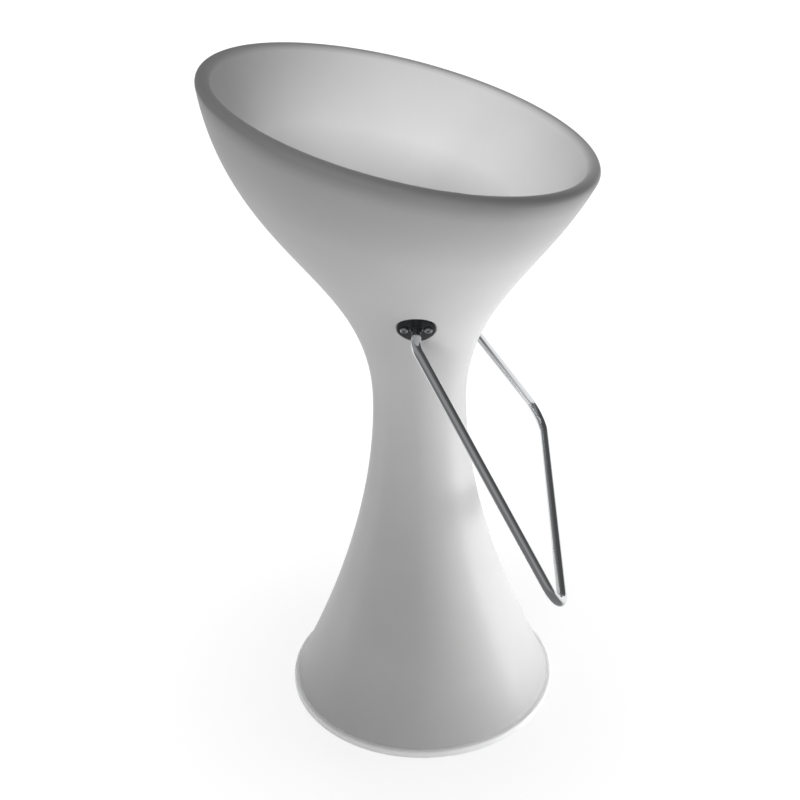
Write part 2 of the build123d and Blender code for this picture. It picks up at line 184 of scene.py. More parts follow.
def cylinder(radius: float, low: float, high: float, place: Matrix = UNMOVED,
             sides: Sides = Sides.HEAD) -> bpy.types.Object:
    """Round solid between two heights on the Z axis of a place.

    Args:
        radius: Its radius.
        low: Height of its bottom.
        high: Height of its top.
        place: Where its axis stands.
        sides: Faces round it.

    Returns:
        The solid.
    """
    bpy.ops.mesh.primitive_cone_add(vertices=sides, radius1=radius, radius2=radius, depth=high - low,
                                    location=(0, 0, (low + high) / 2))
    return settle(bpy.context.object, place)


def round_end(piece: bpy.types.Object, middle: float, top: bool, radius: float, steps: int) -> None:
    """Rounds the edge round one end of an upright cylinder.

    Args:
        piece: The cylinder.
        middle: A height between its two ends.
        top: Whether its top is rounded, or else its bottom.
        radius: Size of the round.
        steps: Faces across the round.
    """
    pick(piece, Pick.EDGES, lambda edge: all(
        (piece.data.vertices[index].co.z > middle) == top for index in edge.vertices))
    with editing(piece):
        bpy.ops.mesh.bevel(offset=radius, segments=steps, profile=0.5)


def sleeve(radius: float, bore_radius: float, low: float, high: float) -> bpy.types.Object:
    """Threaded sleeve, open at both ends.

    Args:
        radius: Its outer radius.
        bore_radius: Radius of its bore.
        low: Height of its bottom.
        high: Height of its top.

    Returns:
        The sleeve, at the origin.
    """
    made = cylinder(radius, low, high, sides=Sides.HOLE)
    combine(made, Combine.CUT, cylinder(bore_radius, low - radius, high + radius, sides=Sides.SHANK))
    return made


def repeated(piece: bpy.types.Object, places: list[Matrix]) -> bpy.types.Object:
    """Copies a piece to several places, each copy with its own mesh, and joins the copies.

    Args:
        piece: The piece at the origin, which is used up.
        places: Where the copies go.

    Returns:
        The joined copies.
    """
    copies = []
    for place in places:
        copy = bpy.data.objects.new(piece.name, piece.data.copy())
        bpy.context.scene.collection.objects.link(copy)
        copy.data.transform(place)
        copies.append(copy)
    bpy.data.objects.remove(piece)
    only(copies[0])
    for copy in copies:
        copy.select_set(True)
    bpy.ops.object.join()
    return bpy.context.object


def ring_places(radius: float, count: int, start: float = 0.0, height: float = 0.0) -> list[Matrix]:
    """Places evenly round the stool's axis.

    Args:
        radius: Radius of the ring.
        count: How many places.
        start: Angle of the first, in degrees.
        height: Height of the ring.

    Returns:
        One matrix for each place, turned to face outwards.
    """
    turns = [Matrix.Rotation(math.radians(start + 360 * index / count), 4, "Z") for index in range(count)]
    return [turn @ Matrix.Translation((radius, 0, height)) for turn in turns]


def polyline(points: np.ndarray) -> bpy.types.Object:
    """Half section drawn as a line in the XZ plane.

    Args:
        points: Rows of radius and height.

    Returns:
        The line, as a mesh.
    """
    bpy.ops.curve.primitive_bezier_curve_add()
    curve = bpy.context.object
    curve.data.splines.clear()
    spline = curve.data.splines.new("POLY")
    spline.points.add(len(points) - 1)
    for point, (radius, height) in zip(spline.points, points):
        point.co = (radius, 0, height, 1)
    only(curve)
    bpy.ops.object.convert(target="MESH")
    return settle(bpy.context.object)


def close_up(piece: bpy.types.Object) -> None:
    """Merges a mesh's doubles and turns its faces outwards.

    Args:
        piece: The mesh to mend.
    """
    with editing(piece):
        bpy.ops.mesh.select_all(action="SELECT")
        bpy.ops.mesh.remove_doubles(threshold=COINCIDENT)
        bpy.ops.mesh.normals_make_consistent(inside=False)


def turned(points: np.ndarray, columns: int, closed: bool) -> bpy.types.Object:
    """Surface turned from a half section, facing outwards.

    Args:
        points: Rows of radius and height.
        columns: Steps round the axis.
        closed: Whether the section joins its last point to its first.

    Returns:
        The surface, with its doubles merged.
    """
    piece = polyline(np.vstack([points, points[:1]]) if closed else points)
    with editing(piece):
        bpy.ops.mesh.select_all(action="SELECT")
        bpy.ops.mesh.spin(steps=columns, angle=math.tau, center=(0, 0, 0), axis=(0, 0, 1))
    close_up(piece)
    return piece


def unit(vector: np.ndarray) -> np.ndarray:
    """A vector's direction."""
    return vector / np.hypot(*vector)


def quarter(steps: int) -> list[float]:
    """Angles of a quarter turn in even steps, both ends included."""
    return [math.radians(90 * step / steps) for step in range(steps + 1)]


def bezier(handles: list[np.ndarray], steps: int) -> np.ndarray:
    """Points along a cubic curve of a half section.

    Args:
        handles: Its four points, each a radius and a height.
        steps: How many runs it is drawn with.

    Returns:
        Rows of radius and height.
    """
    corners = [Vector((radius, 0, height)) for radius, height in handles]
    return np.array([(point.x, point.z) for point in interpolate_bezier(*corners, steps + 1)])


def round_corner(corner: np.ndarray, before: np.ndarray, after: np.ndarray, radius: float,
                 steps: int) -> tuple[np.ndarray, float]:
    """Arc that rounds a corner of a half section.

    Args:
        corner: The sharp corner.
        before: Direction from the corner back along the section.
        after: Direction from the corner onwards.
        radius: Radius of the arc.
        steps: How many runs it is drawn with.

    Returns:
        The arc's points, and how far from the corner it starts.
    """
    half = math.acos(float(np.dot(before, after))) / 2
    reach = radius / math.tan(half)
    centre = corner + unit(before + after) * radius / math.sin(half)
    start, end = corner + before * reach - centre, corner + after * reach - centre
    sweep = math.pi - 2 * half
    shares = np.linspace(0, 1, steps + 1)[:, None]
    arc = (np.sin((1 - shares) * sweep) * start + np.sin(shares * sweep) * end) / math.sin(sweep)
    return centre + arc, reach


class Section:
    """Half section of a turned surface, read by the distance along it."""

    def __init__(self, points: np.ndarray) -> None:
        """Measures the section.

        Args:
            points: Rows of radius and height, close together.
        """
        runs = np.hypot(*np.diff(points, axis=0).T)
        self.points = points
        self.distances = np.concatenate([[0.0], np.cumsum(runs)])

    def at(self, distances: np.ndarray | float) -> np.ndarray:
        """Radius and height at distances along the section."""
        columns = [np.interp(distances, self.distances, column) for column in self.points.T]
        return np.stack(columns, axis=-1)

    def direction(self, distance: float) -> np.ndarray:
        """Direction of the section at a distance along it."""
        return unit(self.at(distance + MM) - self.at(distance - MM))

    def at_height(self, height: float) -> float:
        """Distance at which a rising section reaches a height."""
        return float(np.interp(height, self.points[:, 1], self.distances))

    def inward(self, gap: float) -> "Section":
        """Section that runs inside this one.

        Args:
            gap: The constant distance between the two.

        Returns:
            The inner section.
        """
        along = np.gradient(self.points, axis=0)
        along /= np.hypot(*along.T)[:, None]
        return Section(self.points + gap * np.stack([-along[:, 1], along[:, 0]], axis=-1))

    def meeting(self, height: float, slope: float) -> float:
        """Distance at which the section last crosses a straight line.

        Args:
            height: The line's height at the axis.
            slope: How much it rises for each metre of radius.

        Returns:
            The distance along the section.
        """
        over = self.points[:, 1] - height - slope * self.points[:, 0]
        last = int(np.nonzero(over < 0)[0][-1])
        share = over[last] / (over[last] - over[last + 1])
        return float(self.distances[last] + share * (self.distances[last + 1] - self.distances[last]))


def linear(colour: str) -> tuple[float, float, float, float]:
    """Linear colour of an sRGB hex value.

    Args:
        colour: The value, such as "#C8C8C8".

    Returns:
        Red, green, blue and an alpha of 1.
    """
    shares = [int(colour[place:place + 2], 16) / 255 for place in (1, 3, 5)]
    return (*[s / 12.92 if s <= 0.04045 else ((s + 0.055) / 1.055) ** 2.4 for s in shares], 1.0)


def emptied(owner: bpy.types.Material | bpy.types.World) -> bpy.types.NodeTree:
    """Node tree of a new material or world, with nothing in it.

    Args:
        owner: The material or world.

    Returns:
        Its node tree.
    """
    owner.use_nodes = True
    owner.node_tree.nodes.clear()
    return owner.node_tree


def node(tree: bpy.types.NodeTree, kind: str, inputs: dict[str | int, object] | None = None,
         stops: list[tuple[float, str]] | None = None, **settings: object) -> bpy.types.Node:
    """Adds a node with its settings and links.

    Args:
        tree: The node tree.
        kind: The node's type, without its ShaderNode prefix.
        inputs: A value or another node's output for each input, by name or number.
        stops: Positions and hex colours of a colour ramp, in rising order.
        settings: The node's own settings by name.

    Returns:
        The node.
    """
    made = tree.nodes.new("ShaderNode" + kind)
    for name, value in settings.items():
        setattr(made, name, value)
    for name, value in (inputs or {}).items():
        if isinstance(value, bpy.types.NodeSocket):
            tree.links.new(value, made.inputs[name])
        else:
            made.inputs[name].default_value = value
    for index, (position, colour) in enumerate(stops or []):
        ramp = made.color_ramp.elements
        stop = ramp[index] if index < 2 else ramp.new(position)
        stop.position, stop.color = position, linear(colour)
    return made


@dataclass(frozen=True)
class Finish:
    """A material and how its surface was made.

    Attributes:
        name: Its common name and process.
        colour: Its colour as an sRGB hex value.
        roughness: How much it spreads a reflection.
        metallic: 1 for bare or plated metal.
        ior: Refractive index, which a metal leaves at the default.
        grain: Size of its surface pattern, in metres. The grain of a moulding is finer than this and
            is drawn as coarse as it needs to show.
        grain_depth: Height of that pattern, in metres.
    """

    name: str
    colour: str
    roughness: float
    metallic: float = 0.0
    ior: float = 1.5
    grain: float = 0.8 * MM
    grain_depth: float = 0.02 * MM

    def material(self) -> bpy.types.Material:
        """The material, made once.

        Returns:
            The material of this finish.
        """
        known = bpy.data.materials.get(self.name)
        if known:
            return known
        material = bpy.data.materials.new(self.name)
        tree = emptied(material)
        shader = node(tree, "BsdfPrincipled", {
            "Base Color": linear(self.colour), "Roughness": self.roughness, "Metallic": self.metallic,
            "IOR": self.ior,
        })
        place = node(tree, "TexCoord").outputs["Object"]
        self.pattern(tree, shader, place)
        node(tree, "OutputMaterial", {"Surface": shader.outputs["BSDF"]})
        return material

    def pattern(self, tree: bpy.types.NodeTree, shader: bpy.types.Node,
                place: bpy.types.NodeSocket) -> None:
        """Adds the surface pattern, here a fine even grain.

        Args:
            tree: The material's node tree.
            shader: Its shader, which takes the pattern.
            place: Object coordinates.
        """
        grain = node(tree, "TexNoise", {"Vector": place, "Scale": 1 / self.grain, "Detail": 3.0})
        bump = node(tree, "Bump", {"Height": grain.outputs["Fac"], "Distance": self.grain_depth})
        tree.links.new(bump.outputs["Normal"], shader.inputs["Normal"])


@dataclass(frozen=True)
class RotomouldedPolyethylene(Finish):
    """Milky polyethylene, moulded by turning the mould: a soft satin skin with a slight orange peel.

    Its plain grey is the skin's own tone. The lip, the foot and the bowl's floor are darkened
    by painted shade, graded by depth under the mouth.

    Attributes:
        mouth_height: Height of the mouth's plane at the axis.
        mouth_tilt: Slant of the mouth, in degrees.
        depth_range: Depth under the mouth that the skin's tones span.
        cloud_size: Size of the clouds that unevenly melted powder leaves.
        clouding: How much they lighten or darken the skin.
    """

    mouth_height: float = 0.806
    mouth_tilt: float = 14.3
    depth_range: float = 0.86
    cloud_size: float = 71.4 * MM
    clouding: float = 0.015

    def pattern(self, tree: bpy.types.NodeTree, shader: bpy.types.Node,
                place: bpy.types.NodeSocket) -> None:
        """Adds the tones and painted shade by depth under the mouth, and the orange peel.

        Args:
            tree: The material's node tree.
            shader: Its shader, which takes the pattern.
            place: Object coordinates.
        """
        tilt = math.radians(self.mouth_tilt)
        upright = (0, -math.sin(tilt), math.cos(tilt))
        mouth = self.mouth_height * math.cos(tilt)
        rise = node(tree, "VectorMath", {0: place, 1: upright}, operation="DOT_PRODUCT")
        depth = node(tree, "MapRange", {
            "Value": rise.outputs["Value"], "From Min": mouth, "From Max": mouth - self.depth_range,
        })
        # Painted shade: the outside darkens towards the lip and towards the foot
        outside = node(tree, "ValToRGB", {"Fac": depth.outputs["Result"]}, stops=[
            (0.0, "#7D7D7D"), (0.0105, "#888888"), (0.034, "#AAAAAA"), (0.12, "#BFBFBF"), (0.80, "#BFBFBF"),
            (1.0, "#B0B0B0"),
        ])
        # Painted shade: the bowl darkens at the lip and on its floor
        bowl = node(tree, "ValToRGB", {"Fac": depth.outputs["Result"]}, stops=[
            (0.0, "#888888"), (0.006, "#C2C2C2"), (0.10, "#C2C2C2"), (0.15, "#9E9E9E"), (0.20, "#929292"),
        ])
        inside = node(tree, "Attribute", attribute_name="inside")
        tone_and_painted_shade = node(tree, "Mix", {
            "Factor": inside.outputs["Fac"], COLOUR_A: outside.outputs["Color"],
            COLOUR_B: bowl.outputs["Color"],
        }, data_type="RGBA")
        cloud = node(tree, "TexNoise", {"Vector": place, "Scale": 1 / self.cloud_size, "Detail": 2.0})
        haze = node(tree, "MapRange", {
            "Value": cloud.outputs["Fac"], "From Min": NOISE_LOW, "From Max": NOISE_HIGH,
            "To Min": 1 - self.clouding, "To Max": 1 + self.clouding,
        })
        clouded = node(tree, "Mix", {
            "Factor": 1.0, COLOUR_A: tone_and_painted_shade.outputs[COLOUR_RESULT], COLOUR_B: haze.outputs["Result"],
        }, data_type="RGBA", blend_type="MULTIPLY")
        tree.links.new(clouded.outputs[COLOUR_RESULT], shader.inputs["Base Color"])
        super().pattern(tree, shader, place)


@dataclass(frozen=True)
class BrightMetal(Finish):
    """Plated or turned metal: a mirror with a faint haze where it was polished or cut.

    Attributes:
        haze: How much the roughness varies.
    """

    haze: float = 0.04

    def pattern(self, tree: bpy.types.NodeTree, shader: bpy.types.Node,
                place: bpy.types.NodeSocket) -> None:
        """Adds the uneven haze.

        Args:
            tree: The material's node tree.
            shader: Its shader, which takes the pattern.
            place: Object coordinates.
        """
        cloud = node(tree, "TexNoise", {"Vector": place, "Scale": 1 / self.grain, "Detail": 2.0})
        polish = node(tree, "MapRange", {
            "Value": cloud.outputs["Fac"], "To Min": self.roughness, "To Max": self.roughness + self.haze,
        })
        tree.links.new(polish.outputs["Result"], shader.inputs["Roughness"])


# A pale grey that light sinks into, with painted shade at the lip, the foot and the bowl's floor,
# and soft highlights that the orange peel breaks up
SHELL_SKIN_WITH_PAINTED_SHADE = RotomouldedPolyethylene(
    "polyethylene, rotomoulded", "#D0D0D0", 0.42, ior=1.51, grain=2.5 * MM, grain_depth=0.03 * MM,
)
# Plain bright white with a low sheen, so that it rings the greyer foot
PLATE_PLASTIC = Finish("polypropylene, white moulded", "#FAFAFA", 0.35, ior=1.49)
# A clean mirror, which draws the floor and the sky as bands along the tube
CHROME = BrightMetal("steel tube, chromed", "#D4D6D8", 0.05, metallic=1.0, grain=9 * MM)
# The same mirror, a little blurred, since pressed steel is less even than tube; its near-black
# colour is painted shade, standing in for the shade of the recess that it sits in
PAINTED_SHADE_CHROME = BrightMetal("pressed steel, chromed, painted shade", "#48494C", 0.18, metallic=1.0, grain=6 * MM)
# A pale, cloudy shine
ZINC = BrightMetal("steel screw, zinc plated", "#B9BBBE", 0.22, metallic=1.0, grain=2 * MM, haze=0.12)
# A warm yellow shine, hazy with fine turning marks
BRASS = BrightMetal("brass insert, turned", "#D9B763", 0.28, metallic=1.0, grain=1.5 * MM, haze=0.1)
# Near black and dull, with an open grain and no highlight
PAD_RUBBER = Finish("synthetic rubber, pressed", "#2B2B2C", 0.85, grain=0.6 * MM, grain_depth=0.06 * MM)
# A satin white, a little greyer than the plate round it
UNIT_PLASTIC = Finish("ABS, white moulded", "#E6E6E4", 0.48, ior=1.53)
# Black with a broad, weak sheen
UNIT_BLACK = Finish("nylon, black moulded", "#18181A", 0.5, ior=1.53)
# Milky white and smooth, which hides the lamps behind it
OPAL = Finish("acrylic, opal moulded", "#F4F4F0", 0.3, ior=1.49, grain=3 * MM)
# An even, glossy white that throws the light up
LAMP_BOARD = Finish("aluminium board, white lacquer", "#EEEEEA", 0.4)
# Deep green under a glossy lacquer
DRIVER_BOARD = Finish("glass laminate, green lacquer", "#12603A", 0.32)
# Strong yellow and wet-looking, as cast gel is
PHOSPHOR = Finish("silicone over phosphor, cast", "#E9D66B", 0.25, ior=1.41)
# A glossy blue film
CELL_SLEEVE = Finish("shrink sleeve, blue vinyl", "#2E6FA8", 0.3)
# Light grey with a sharp highlight, which tells the button from the tray
BUTTON_PLASTIC = Finish("ABS, polished grey", "#C4C6C9", 0.18, ior=1.53)
# Dark grey and dull, a touch softer to the eye than the pads
FLAP_RUBBER = Finish(
    "silicone flap, moulded", "#3A3A3C", 0.7, ior=1.41, grain=0.5 * MM, grain_depth=0.04 * MM,
)


def dress(piece: bpy.types.Object, name: str, finish: Finish, replaced: list[str],
          body: str = STOOL, smooth: float = 30.0) -> None:
    """Gives a finished piece its name, shading, material and place in the frame.

    Args:
        piece: The piece, with its object at the origin.
        name: Its name.
        finish: Its material.
        replaced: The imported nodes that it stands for.
        body: The body that it moves with.
        smooth: Angle up to which faces shade as one.
    """
    piece.name = piece.data.name = name
    piece.data.materials.clear()
    piece.data.materials.append(finish.material())
    only(piece)
    bpy.ops.object.shade_smooth_by_angle(angle=math.radians(smooth))
    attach(piece, body)
    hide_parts(*replaced)
    log.info("%s: %d faces, %s", name, len(piece.data.polygons), finish.name)


@dataclass
class BodyShell:
    """Hourglass shell, moulded in one piece with its bowl and its rounded, slanted lip.

    Sizes are in metres, leans and the tilt in degrees, and a share is a part of its curve's reach.

    Attributes:
        inside_start: Where the bowl's side of the lip begins, in lip widths from the outer wall.
        inside_fade: Width over which its tones and painted shade take over, in lip widths.
    """

    foot_radius: float = 0.174
    foot_height: float = 0.012
    foot_lean: float = 23.0
    foot_share: float = 0.07
    foot_edge_round: float = 0.0012
    foot_edge_steps: int = 3
    foot_opening_radius: float = 0.146
    waist_radius: float = 0.059
    waist_height: float = 0.442
    waist_down_share: float = 0.46
    waist_up_share: float = 0.41
    rim_radius: float = 0.250
    rim_margin: float = 0.015
    rim_lean: float = 2.5
    rim_share: float = 0.485
    wall: float = 0.004
    mouth_height: float = 0.806
    mouth_tilt: float = 14.3
    lip_width: float = 0.017
    lip_round_share: float = 0.46
    bowl_depth: float = 0.151
    bowl_turn_share: float = 0.47
    bowl_wall_share: float = 0.56
    bowl_floor_share: float = 0.58
    seat_height: float = 0.585
    seat_depth: float = 0.0032
    seat_radius: float = 0.0242
    inside_start: float = 0.5
    inside_fade: float = 0.36
    columns: int = 160
    foot_rings: int = 40
    funnel_rings: int = 52
    lip_rings: int = 8
    bowl_rings: int = 46
    fine_steps: int = 400

    def __post_init__(self) -> None:
        """Draws the sections that everything else is placed by."""
        self.slope = math.tan(math.radians(self.mouth_tilt))
        rim_height = self.mouth_height + self.rim_radius * self.slope + self.rim_margin
        fall, rise = self.waist_height - self.foot_height, rim_height - self.waist_height
        foot = np.array([self.foot_radius, self.foot_height])
        waist = np.array([self.waist_radius, self.waist_height])
        rim = np.array([self.rim_radius, rim_height])
        self.foot = Section(bezier([
            foot, foot + fall * self.foot_share * self.leaning(self.foot_lean),
            waist - (0, fall * self.waist_down_share), waist,
        ], self.fine_steps))
        self.funnel = Section(bezier([
            waist, waist + (0, rise * self.waist_up_share),
            rim - rise * self.rim_share * self.leaning(-self.rim_lean), rim,
        ], self.fine_steps))
        self.bowl = self.bowl_section()

    @staticmethod
    def leaning(angle: float) -> np.ndarray:
        """Upward direction in a half section that leans to the axis by an angle."""
        return np.array([-math.sin(math.radians(angle)), math.cos(math.radians(angle))])

    def bowl_section(self) -> Section:
        """Half section of the bowl, from its centre: a dished floor, then parallel to the outside.

        Returns:
            The section.
        """
        side = self.funnel.inward(self.lip_width)
        start = side.at_height(self.mouth_height - self.bowl_depth * self.bowl_turn_share)
        turn, along = side.at(start), side.direction(start)
        floor = self.mouth_height - self.bowl_depth
        dish = bezier([
            np.array([0.0, floor]), np.array([turn[0] * self.bowl_floor_share, floor]),
            turn - along * (turn[1] - floor) * self.bowl_wall_share, turn,
        ], self.fine_steps)
        return Section(np.vstack([dish, side.points[side.distances > start]]))

    def section(self, turn: float) -> np.ndarray:
        """Half section at one angle, from the foot opening over the lip to the bowl's centre.

        Args:
            turn: The angle, in radians from +X.

        Returns:
            Rows of radius and height, as many at every angle.
        """
        slope = self.slope * math.sin(turn)
        radius = self.lip_width * self.lip_round_share
        rim, inner_rim = [wall.meeting(self.mouth_height, slope) for wall in (self.funnel, self.bowl)]
        corner, inner_corner = self.funnel.at(rim), self.bowl.at(inner_rim)
        over = unit(inner_corner - corner)
        down = -self.funnel.direction(rim - radius / 2)
        inner_down = -self.bowl.direction(inner_rim - radius / 2)
        outer_arc, reach = round_corner(corner, down, over, radius, self.lip_rings)
        inner_arc, inner_reach = round_corner(inner_corner, -over, inner_down, radius, self.lip_rings)
        foot_arc, foot_reach = round_corner(
            self.foot.at(0.0), np.array([-1.0, 0.0]), self.foot.direction(MM), self.foot_edge_round,
            self.foot_edge_steps,
        )
        foot = np.linspace(foot_reach, self.foot.distances[-1], self.foot_rings)[1:-1]
        funnel = np.linspace(0, rim - reach, self.funnel_rings)[:-1]
        bowl = np.linspace(inner_rim - inner_reach, 0, self.bowl_rings)[1:]
        opening = np.array([[self.foot_opening_radius, self.foot_height]])
        return np.vstack([
            opening, foot_arc, self.foot.at(foot), self.funnel.at(funnel), outer_arc, inner_arc,
            self.bowl.at(bowl),
        ])

    def lean_columns(self, piece: bpy.types.Object) -> None:
        """Slides each column of the turned shell to its own section, so that the lip takes its slant.

        Args:
            piece: The shell as turned from the section at +X.
        """
        drawn = self.section(0.0)
        turns = [math.tau * index / self.columns for index in range(self.columns)]
        sections = np.array([self.section(turn) for turn in turns])
        points = np.empty(len(piece.data.vertices) * 3)
        piece.data.vertices.foreach_get("co", points)
        x, y, height = points.reshape(-1, 3).T
        radius = np.hypot(x, y)
        ring = ((radius[:, None] - drawn[:, 0]) ** 2 + (height[:, None] - drawn[:, 1]) ** 2).argmin(axis=1)
        column = np.rint(np.arctan2(y, x) / math.tau * self.columns).astype(int) % self.columns
        turn = column * math.tau / self.columns
        radius, height = sections[column, ring].T
        placed = np.stack([radius * np.cos(turn), radius * np.sin(turn), height], axis=-1)
        piece.data.vertices.foreach_set("co", placed.ravel())
        piece.data.update()

    def seat_place(self, side: Side) -> Matrix:
        """Place of a footrest flange's seat floor, with its Z axis square to the wall.

        Args:
            side: The side of the stool.

        Returns:
            The matrix of the place.
        """
        distance = self.funnel.at_height(self.seat_height)
        radius, height = self.funnel.at(distance)
        along = self.funnel.direction(distance)
        out = Vector((side.value * along[1], 0, -along[0]))
        across = Vector((0, 1, 0))
        turn = Matrix((across, out.cross(across), out)).transposed().to_4x4()
        origin = Vector((side.value * radius, 0, height)) - out * self.seat_depth
        return Matrix.Translation(origin) @ turn

    def mark_inside(self, piece: bpy.types.Object) -> None:
        """Stores how far each point is on the bowl's side of the lip, for the skin's tones and painted
        shade.

        Args:
            piece: The finished shell.
        """
        points = np.empty(len(piece.data.vertices) * 3)
        piece.data.vertices.foreach_get("co", points)
        x, y, height = points.reshape(-1, 3).T
        outer = np.interp(height, self.funnel.points[:, 1], self.funnel.points[:, 0], left=0.0)
        gap = (outer - np.hypot(x, y)) / self.lip_width
        above_floor = height > self.mouth_height - self.bowl_depth - COINCIDENT
        inside = np.clip((gap - self.inside_start) / self.inside_fade, 0, 1) * above_floor
        attribute = piece.data.attributes.new("inside", "FLOAT", "POINT")
        attribute.data.foreach_set("value", inside.astype(np.float32))

    def build(self) -> None:
        """Turns the shell, leans its lip, thickens it and cuts the flange seats."""
        piece = turned(self.section(0.0), self.columns, closed=False)
        self.lean_columns(piece)
        apply_modifier(piece, "SOLIDIFY", thickness=self.wall, offset=-1.0, use_even_offset=True)
        for side in Side:
            seat = cylinder(self.seat_radius, 0, 3 * self.seat_depth, self.seat_place(side), Sides.SEAT)
            combine(piece, Combine.CUT, seat)
        self.mark_inside(piece)
        dress(piece, "shell_moulding", SHELL_SKIN_WITH_PAINTED_SHADE, ["body_shell"], smooth=40)


@dataclass
class Screw:
    """Button-head screw with a hexagon socket, its head's underside at the origin.

    Attributes:
        edge_share: Share of the head's height that its rounded edge takes up.
    """

    head_radius: float = 0.0048
    head_height: float = 0.003
    edge_share: float = 0.62
    edge_steps: int = 6
    shank_radius: float = 0.0024
    length: float = 0.014
    socket_radius: float = 0.002

    def build(self, places: list[Matrix]) -> bpy.types.Object:
        """Models one screw and copies it.

        Args:
            places: Where the screws go, heads up along Z.

        Returns:
            The screws, joined.
        """
        middle = self.head_height / 2
        screw = cylinder(self.head_radius, 0, self.head_height)
        round_end(screw, middle, True, self.head_height * self.edge_share, self.edge_steps)
        socket = cylinder(self.socket_radius, middle, 2 * self.head_height, sides=Sides.SOCKET)
        combine(screw, Combine.CUT, socket)
        shank = cylinder(self.shank_radius, -self.length, middle / 2, sides=Sides.SHANK)
        combine(screw, Combine.ADD, shank)
        return repeated(screw, places)


@dataclass
class Footrest:
    """Bent rod between two round flanges, each held by two screws."""

    shell: BodyShell
    rod_radius: float = 0.006
    half_width: float = 0.240
    forward: float = 0.173
    height: float = 0.276
    elbow_radius: float = 0.018
    corner_radius: float = 0.032
    stub_length: float = 0.025
    flange_radius: float = 0.023
    flange_thickness: float = 0.003
    flange_edge_round: float = 0.0012
    edge_steps: int = 4
    bead_radius: float = 0.0084
    bead_height: float = 0.003
    bead_steps: int = 6
    bend_steps: int = 20
    rod_steps: int = 14
    screw_offset: float = 0.014
    screw_hole_radius: float = 0.0028
    socket_radius: float = 0.0026
    insert_length: float = 0.013
    insert_radius: float = 0.0045
    insert_bore_radius: float = 0.0025
    fit_gap: float = 0.00005

    def corners(self) -> list[tuple[Vector, float]]:
        """Corners of the rod's route, each with its bend radius.

        Returns:
            Points from the left flange to the right one; the two ends have no radius.
        """
        left, right = [self.shell.seat_place(side) for side in Side]
        stub = Vector((0, 0, self.shell.seat_depth + self.stub_length))
        near = Vector((-self.half_width, -self.forward, self.height))
        far = Vector((self.half_width, -self.forward, self.height))
        return [(left.translation, 0.0), (left @ stub, self.elbow_radius), (near, self.corner_radius),
                (far, self.corner_radius), (right @ stub, self.elbow_radius), (right.translation, 0.0)]

    def build_rod(self) -> None:
        """Draws the rod's route as straight runs and bends, and gives it its thickness."""
        corners = self.corners()
        knots = [(corners[0][0],) * 3]
        for (before, _), (corner, radius), (after, _) in zip(corners, corners[1:], corners[2:]):
            back, onward = (before - corner).normalized(), (after - corner).normalized()
            bend = math.pi - back.angle(onward)
            reach, handle = radius * math.tan(bend / 2), 4 / 3 * math.tan(bend / 4) * radius
            start, end = corner + back * reach, corner + onward * reach
            knots.append((start + back * handle, start, start - back * handle))
            knots.append((end - onward * handle, end, end + onward * handle))
        knots.append((corners[-1][0],) * 3)
        bpy.ops.curve.primitive_bezier_curve_add()
        rod = bpy.context.object
        spline = rod.data.splines[0]
        spline.bezier_points.add(len(knots) - 2)
        for point, (before, place, after) in zip(spline.bezier_points, knots):
            point.handle_left_type = point.handle_right_type = "FREE"
            point.co, point.handle_left, point.handle_right = place, before, after
        rod.data.resolution_u = self.bend_steps
        rod.data.bevel_depth = self.rod_radius
        rod.data.bevel_resolution = self.rod_steps
        rod.data.use_fill_caps = True
        only(rod)
        bpy.ops.object.convert(target="MESH")
        rod = settle(bpy.context.object)
        close_up(rod)
        dress(rod, "footrest_rod", CHROME, ["footrest_bar"], smooth=50)

    def build_flange(self, side: Side) -> None:
        """Models a flange with its rounded edge, weld bead and holes.

        Args:
            side: The side of the stool.
        """
        place, name = self.shell.seat_place(side), side.name.lower()
        top = self.flange_thickness
        bead = self.bead_radius - self.rod_radius
        section = [(0, 0), (self.flange_radius, 0)]
        for turn in quarter(self.edge_steps):
            section.append((self.flange_radius - self.flange_edge_round * (1 - math.cos(turn)),
                            top - self.flange_edge_round * (1 - math.sin(turn))))
        for turn in quarter(self.bead_steps):
            section.append((self.rod_radius + bead * (1 - math.sin(turn)),
                            top + self.bead_height * (1 - math.cos(turn))))
        section.append((0, top + self.bead_height))
        flange = settle(turned(np.array(section), Sides.FLANGE, closed=False), place)
        offsets = (-self.screw_offset, self.screw_offset)
        holes = [place @ Matrix.Translation((offset, 0, 0)) for offset in offsets]
        tools = [cylinder(self.screw_hole_radius, -top, 2 * top, hole, Sides.HOLE) for hole in holes]
        bore_top = 2 * top + self.bead_height
        tools.append(cylinder(self.rod_radius + self.fit_gap, -top, bore_top, place, Sides.HOLE))
        combine(flange, Combine.CUT, *tools)
        # The flange's near-black colour is painted shade
        dress(flange, f"flange_{name}", PAINTED_SHADE_CHROME, [f"footrest_flange_{name}"])
        screw = Screw(socket_radius=self.socket_radius)
        screws = screw.build([hole @ Matrix.Translation((0, 0, top)) for hole in holes])
        dress(screws, f"flange_screw_pair_{name}", ZINC, [f"flange_screws_{name}"])
        insert = sleeve(self.insert_radius, self.insert_bore_radius, -self.insert_length, 0)
        sleeves = repeated(insert, holes)
        dress(sleeves, f"flange_sleeves_{name}", BRASS, [f"flange_inserts_{name}"])

    def build(self) -> None:
        """Builds the rod and both flanges."""
        self.build_rod()
        for side in Side:
            self.build_flange(side)


